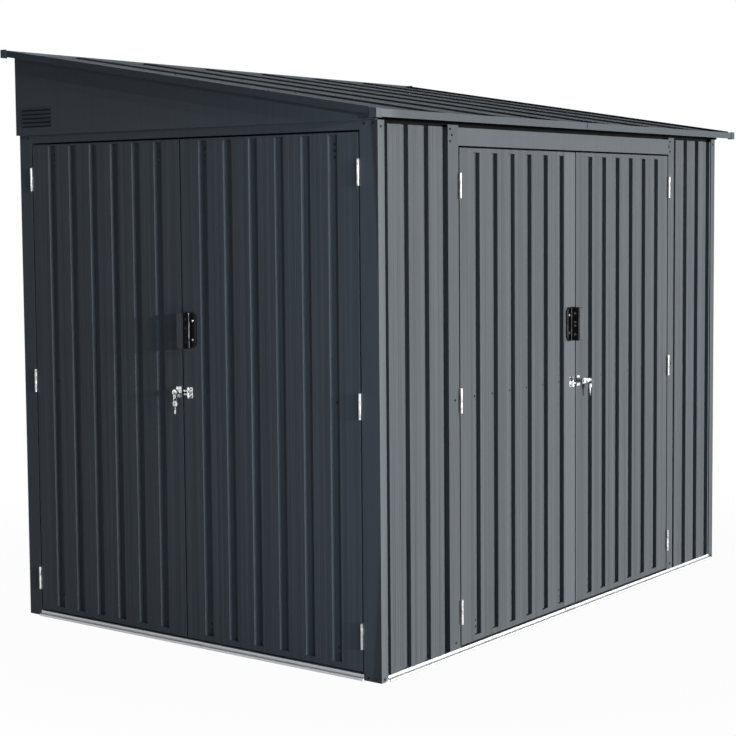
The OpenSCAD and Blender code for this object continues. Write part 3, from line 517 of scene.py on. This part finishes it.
screw_set("wall_screws", "shed", wall_screws(), radius=0.0042, rise=0.0022)
screw_set("row_screws", "shed", row_screws(), radius=0.0042, rise=0.0022, washer=0.0065)
screw_set("roof_screws", "shed", roof_screws(), radius=0.0040, rise=0.0020, washer=0.0075)
for side in ("left", "right"):
    places = leaf_screws("front_%s_door" % side, FRONT, (mid_rail_level,), (0.066, 0.088))
    screw_set("front_%s_leaf_screws" % side, "front_%s_leaf" % side, places, radius=0.0038, rise=0.002)
for side in ("near", "back"):
    places = leaf_screws("end_%s_door" % side, LEFT, (), (0.062, 0.084, 0.846, 1.592, 1.612, 1.632))
    screw_set("end_%s_leaf_screws" % side, "end_%s_leaf" % side, places, radius=0.0042, rise=0.002)


# Handles and hasps
handle_plate = 0.004
hasp_plate = 0.002


def plate_screws(node, facing, plate, across, half_pitch):
    """Two screws on a plate, one above the other, at a share of the way across the node."""
    low, high = (turned(facing, c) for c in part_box(node))
    middle = (low.z + high.z) / 2
    x = low.x + across * (high.x - low.x)
    return [(turned(facing, (x, high.y - plate, middle + z)), facing) for z in (-half_pitch, half_pitch)]


def add_grip_plate(bm, place, width, height, depth):
    """A plate with a sunk field, rounded at its two outer corners."""
    radius, steps = 0.009, 8
    half = height / 2
    turns = [math.pi / 2 * i / steps for i in range(steps + 1)]
    centre = width - radius
    outline = [(0.0, -half)]
    outline += [(centre + radius * math.sin(t), radius - half - radius * math.cos(t)) for t in turns]
    outline += [(centre + radius * math.cos(t), half - radius + radius * math.sin(t)) for t in turns]
    outline.append((0.0, half))
    field = 0.8 * depth
    profile = ((0.0, 0.0), (0.75 * depth, 0.0), (depth, 0.0008), (depth, 0.0030), (field, 0.0036))
    rings = []
    for rise, inset in profile:
        shrink_a, shrink_b = 1 - 2 * inset / width, 1 - 2 * inset / height
        ring = []
        for a, b in outline:
            ring.append(bm.verts.new(place(width / 2 + (a - width / 2) * shrink_a, b * shrink_b, rise)))
        rings.append(ring)
    join_rings(bm, rings)


def add_grip_ribs(bm, place, width, height, depth):
    """A row of short ribs across the plate's field, narrower at their crests."""
    ribs, side_margin, end_margin, half_rib = 9, 0.0055, 0.015, 0.0018
    reach = width / 2 - side_margin
    corners = ((-reach, -half_rib), (reach, -half_rib), (reach, half_rib), (-reach, half_rib))
    for k in range(ribs):
        z = (k - (ribs - 1) / 2) * (height - 2 * end_margin) / (ribs - 1)
        rings = []
        for size, rise in ((1.0, 0.8 * depth), (0.8, 1.1 * depth)):
            rings.append([bm.verts.new(place(width / 2 + size * a, z + size * b, rise)) for a, b in corners])
        join_rings(bm, rings)


def grip(name, body, node, facing):
    """The ribbed grip on the outer face of the handle's paddle, between the web and the seam."""
    low, high = (turned(facing, c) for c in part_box(node))
    middle = (low.z + high.z) / 2
    width, height, depth, edge = 0.020, 0.110, 0.0016, 0.001

    def place(a, b, rise):
        return turned(facing, (high.x - edge - width + a, low.y - rise, middle + b))

    bm = bmesh.new()
    add_grip_plate(bm, place, width, height, depth)
    add_grip_ribs(bm, place, width, height, depth)
    finish_piece(bm, name, body, grip_plastic)


def web_bead(name, body, node, facing):
    """A bright quarter-round bead in the corner between the handle's plate and its web, standing in for the
    highlight along the handle's fillet.
    """
    low, high = (turned(facing, c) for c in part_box(node))
    web, radius, end, steps = 0.031, 0.0020, 0.002, 6
    turns = [math.pi / 2 * i / steps for i in range(steps + 1)]
    section = [(web, handle_plate)]
    section += [(web - radius * math.cos(t), handle_plate + radius * math.sin(t)) for t in turns]
    bm = bmesh.new()
    rings = []
    for z in (low.z + end, high.z - end):
        rings.append([bm.verts.new(turned(facing, (low.x + a, high.y - c, z))) for a, c in section])
    join_rings(bm, rings)
    finish_piece(bm, name, body, bead_highlight_steel)


for wall, leaf, facing in (("front", "front_left_leaf", FRONT), ("end", "end_near_leaf", LEFT)):
    handle, hasp = wall + "_handle", wall + "_hasp"
    places = plate_screws(handle, facing, handle_plate, across=0.27, half_pitch=0.031)
    screw_set(handle + "_screws", leaf, places, radius=0.0046, rise=0.0026, material=chrome)
    places = plate_screws(hasp, facing, hasp_plate, across=0.2, half_pitch=0.012)
    screw_set(hasp + "_screws", leaf, places, radius=0.0030, rise=0.0018)
    grip(handle + "_grip", leaf, handle, facing)
    web_bead(handle + "_bead", leaf, handle, facing)


# Edge strip beside the seam of the front doors, its lighter paint a painted highlight
def seam_strip(name, body, door, handle):
    """Two lengths of a flat strip along the leaf's free edge, above and below the handle, in lighter paint
    as a painted highlight.
    """
    low, high = (Vector(c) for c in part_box(door))
    handle_low, handle_high = (Vector(c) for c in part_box(handle))
    width, edge, end, thick, ease = 0.076, 0.001, 0.003, 0.0012, 0.0006
    steps = ((0.0, 0.0), (thick - ease, 0.0), (thick, ease))

    def place(x, z, rise):
        return Vector((x, low.y - rise, z))

    across = (high.x - edge - width, high.x - edge)
    bm = bmesh.new()
    add_plate(bm, place, across, (low.z + end, handle_low.z - edge), steps)
    add_plate(bm, place, across, (handle_high.z + edge, high.z - end), steps)
    finish_piece(bm, name, body, seam_highlight_paint)


seam_strip("front_seam_strip", "front_left_leaf", "front_left_door", "front_handle")


# Sleeves over the joints of the base track
def sleeve(name, middle, along, out):
    """A folded strip over the outside of the track, drawn from its section along the wall."""
    half, ease = 0.030, 0.0006
    top, upright = 0.0190, 0.0012
    toe_top, toe_cover = 0.0078, 0.0008
    toe_reach, nose, foot = 0.0102, 0.0010, 0.0004
    front, ledge = toe_reach + nose, toe_top + toe_cover
    section = [
        (0.0, top - ease), (ease, top), (upright, top - ease), (upright, ledge), (front - ease, ledge),
        (front, ledge - ease), (front, foot), (toe_reach, foot), (toe_reach, toe_top), (0.0, toe_top),
    ]
    bm = bmesh.new()
    rings = []
    for side in (-half, half):
        rings.append([bm.verts.new(middle + along * side + out * a + UP * z) for a, z in section])
    join_rings(bm, rings)
    finish_piece(bm, name, "shed", zinc)


end_joint, long_joint = 0.760, 1.120
sleeve("base_left_sleeve", from_corner(0, end_joint, 0), BACK, LEFT)
sleeve("base_right_sleeve", from_corner(wall_length, end_joint, 0), BACK, RIGHT)
sleeve("base_front_sleeve", from_corner(long_joint, 0, 0), RIGHT, FRONT)
sleeve("base_back_sleeve", from_corner(long_joint, wall_depth, 0), RIGHT, BACK)


# Cover strips over the joints of the sheets of the back and right walls
def add_cover_strip(bm, foot, along, out):
    """A flat strip from a foot on the face of the sheets up to just below the wall's top."""
    half, top_gap, sunk, thick, ease = 0.007, 0.026, 0.0005, 0.0012, 0.0006
    steps = ((-sunk, 0.0), (thick - ease, 0.0), (thick, ease))

    def place(a, b, rise):
        return foot + along * a + out * rise + UP * b

    add_plate(bm, place, (-half, half), (0.0, wall_height - top_gap), steps)


def cover_strips(name, feet, along, out):
    """All the cover strips of a wall as one piece."""
    bm = bmesh.new()
    for foot in feet:
        add_cover_strip(bm, foot, along, out)
    finish_piece(bm, name, "shed", wall_paint)


sunk_face, foot_level = 0.0025, 0.021
back_sheet = (wall_length - 2 * sunk_face) / back_sheets
back_feet = []
for i in range(1, back_sheets):
    back_feet.append(from_corner(sunk_face + back_sheet * i, wall_depth - sunk_face, foot_level))
right_foot = from_corner(wall_length - sunk_face, wall_depth / right_sheets, foot_level)
cover_strips("back_joint_strips", back_feet, RIGHT, BACK)
cover_strips("right_joint_strip", [right_foot], BACK, RIGHT)


# Painted shade in the mouths of the louvre slots
def louvre_shade_strips(name, node, out):
    """Thin strips of painted shade below the hoods of a louvre, on the outer face of its gable."""
    low, high = (Vector(c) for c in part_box(node))
    hood, pitch, count = 0.005, 0.014, 5
    length, from_back, rise, margin = 0.147, 0.032, 1.731, 0.001
    drop, gap = 0.0052, 0.0004
    sunk, thick, ease = 0.0003, 0.0007, 0.0004
    steps = ((-sunk, 0.0), (thick - ease, 0.0), (thick, ease))
    face = low.x + hood if out.x < 0 else high.x - hood
    back = corner.y + wall_depth - from_back - margin
    front = back - length + 2 * margin

    def place(y, z, stand):
        return Vector((face + out.x * stand, y, z))

    bm = bmesh.new()
    for i in range(count):
        z = rise + i * pitch
        add_plate(bm, place, (front, back), (z - drop, z - gap), steps)
    finish_piece(bm, name, "shed", shade_paint)


louvre_shade_strips("left_louvre_mouths", "left_gable", LEFT)
louvre_shade_strips("right_louvre_mouths", "right_gable", RIGHT)


# Splice plate over the joint of the two lengths of the fascia
def splice(name, node):
    """A thin plate on the front of the fascia, over nearly its full height."""
    low, high = (Vector(c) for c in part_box(node))
    start, width, lip, thick = 1.155, 0.060, 0.0005, 0.0012
    left = corner.x + start

    def place(x, z, rise):
        return Vector((x, low.y - rise, z))

    bm = bmesh.new()
    steps = ((0.0, 0.0), (thick - lip, 0.0), (thick, lip))
    add_plate(bm, place, (left, left + width), (low.z + lip, high.z - lip), steps)
    finish_piece(bm, name, "shed", wall_paint)


splice("fascia_splice", "eave_fascia")


# Floor and world
WHITE = (1, 1, 1, 1)


def make_floor():
    """Ground that shows a soft shadow beside the shed and is plain white further away."""
    size, drop = 60, 0.0005
    near, far, near_white = 1.3, 3.0, 0.97
    bpy.ops.mesh.primitive_plane_add(size=size, location=(0, 0, -drop))
    floor = bpy.context.object
    floor.name = "floor"
    material = bpy.data.materials.new("floor_white")
    material.use_nodes = True
    g = Graph(material.node_tree)
    length = g.node("ShaderNodeVectorMath", operation="LENGTH")
    g.join(g.node("ShaderNodeNewGeometry").outputs["Position"], length.inputs[0])
    fade = g.span(length.outputs["Value"], near, far, near_white, 1.0, curve="SMOOTHSTEP")
    ground = g.fill(g.node("ShaderNodeBsdfDiffuse"), Color=(0.4, 0.4, 0.4, 1))
    glow = g.fill(g.node("ShaderNodeEmission"), Color=WHITE)
    share = g.maths("MULTIPLY", g.white_rays(), fade)
    g.blend(share, ground, glow, g.node("ShaderNodeOutputMaterial"))
    floor.data.materials.append(material)


def make_world():
    """White to the camera and in gloss; its light is that of a studio, brighter before the long front."""
    brightest = Vector((0.45, -0.86, 0.22)).normalized()
    dim, bright = 0.01, 0.12
    sky_tint = (0.56, 0.95, 1.45, 1)
    world = bpy.data.worlds.new("studio")
    world.use_nodes = True
    g = Graph(world.node_tree)
    towards = g.dot(g.node("ShaderNodeTexCoord").outputs["Generated"], brightest)
    level = g.span(towards, -0.3, 1.0, dim, bright, curve="SMOOTHSTEP")
    soft = g.fill(g.node("ShaderNodeBackground"), Color=sky_tint, Strength=level)
    white = g.fill(g.node("ShaderNodeBackground"), Color=WHITE)
    g.blend(g.white_rays(), soft, white, g.node("ShaderNodeOutputWorld"))
    scene.world = world


# Lamps
def stand_lamp(lamp, place, back):
    """Put a lamp at a place with its back turned one way, so that it shines the other way."""
    piece = bpy.data.objects.new(lamp.name, lamp)
    piece.location = place
    piece.rotation_euler = back.to_track_quat("Z", "Y").to_euler()
    scene.collection.objects.link(piece)


def make_sun(name, towards, strength, angle, colour):
    lamp = bpy.data.lights.new(name, "SUN")
    lamp.energy = strength
    lamp.angle = math.radians(angle)
    lamp.color = colour
    stand_lamp(lamp, Vector(), Vector(towards))


def make_spot(name, away, level, half_cone, colour):
    """A spot that lights the left end from the front, with the near corner at the edge of its cone.

    away is where it stands from the foot of the near corner, level the light on a face square to it there.
    """
    softness, overlap = 0.0015, 0.1
    away = Vector(away)
    to_corner = UP * (wall_height / 2) - away
    lamp = bpy.data.lights.new(name, "SPOT")
    lamp.energy = 4 * math.pi * to_corner.length_squared * level
    lamp.color = colour
    lamp.shadow_soft_size = softness * to_corner.length
    lamp.spot_blend = 0.0
    lamp.spot_size = 2 * math.radians(half_cone)
    beam = to_corner.normalized()
    upright = beam.cross(UP).cross(beam)
    axis = Matrix.Rotation(math.radians(half_cone - overlap), 3, upright) @ beam
    stand_lamp(lamp, corner + away, -axis)


make_floor()
make_world()
make_sun("key", (0.58, -0.80, 0.05), strength=3.2, angle=6, colour=(1.0, 0.985, 0.95))
make_sun("top", (0.80, 0.15, 0.58), strength=0.45, angle=12, colour=(1.0, 1.0, 0.98))
make_sun("back", (0.25, 0.93, 0.28), strength=1.6, angle=10, colour=(1.0, 0.99, 0.97))
white_light, blue_light = (1.0, 1.0, 1.0), (0.78, 1.0, 1.24)
graze_distance, graze_height = 19.0, 3.2
for i, aside in enumerate((1.2, 1.9, 3.0, 4.5)):
    away = (-aside, -graze_distance, graze_height)
    make_spot("graze_%d" % (i + 1), away, level=0.34, half_cone=60, colour=white_light)
kicker_distance, kicker_aside = 1.1, 0.8
for name, height, level in (("low_kicker", 0.40, 0.34), ("high_kicker", 1.70, 0.36)):
    make_spot(name, (-kicker_aside, -kicker_distance, height), level, half_cone=85, colour=blue_light)


# Camera at the photograph's place
def make_camera():
    """A camera placed from the foot of the near corner; its focal length is in pixels of the photograph."""
    stand = Vector((-4.0325, -3.0089, 1.4435))
    yaw, pitch, roll = 0.6442, 0.0730, -0.0080
    photo_width, focal_length, sensor_width = 736, 1690.8, 36.0
    flat = Vector((math.cos(yaw), math.sin(yaw), 0.0))
    forward = math.cos(pitch) * flat - math.sin(pitch) * UP
    right = Vector((math.sin(yaw), -math.cos(yaw), 0.0))
    up = right.cross(forward)
    rolled_right = math.cos(roll) * right + math.sin(roll) * up
    rolled_up = math.cos(roll) * up - math.sin(roll) * right
    data = bpy.data.cameras.new("camera")
    data.sensor_fit = "HORIZONTAL"
    data.sensor_width = sensor_width
    data.lens = sensor_width * focal_length / photo_width
    data.shift_x = -0.0079
    data.shift_y = -0.0516
    camera = bpy.data.objects.new("camera", data)
    basis = Matrix((rolled_right, rolled_up, -forward)).transposed()
    camera.matrix_world = Matrix.Translation(corner + stand) @ basis.to_4x4()
    scene.collection.objects.link(camera)
    scene.camera = camera


make_camera()
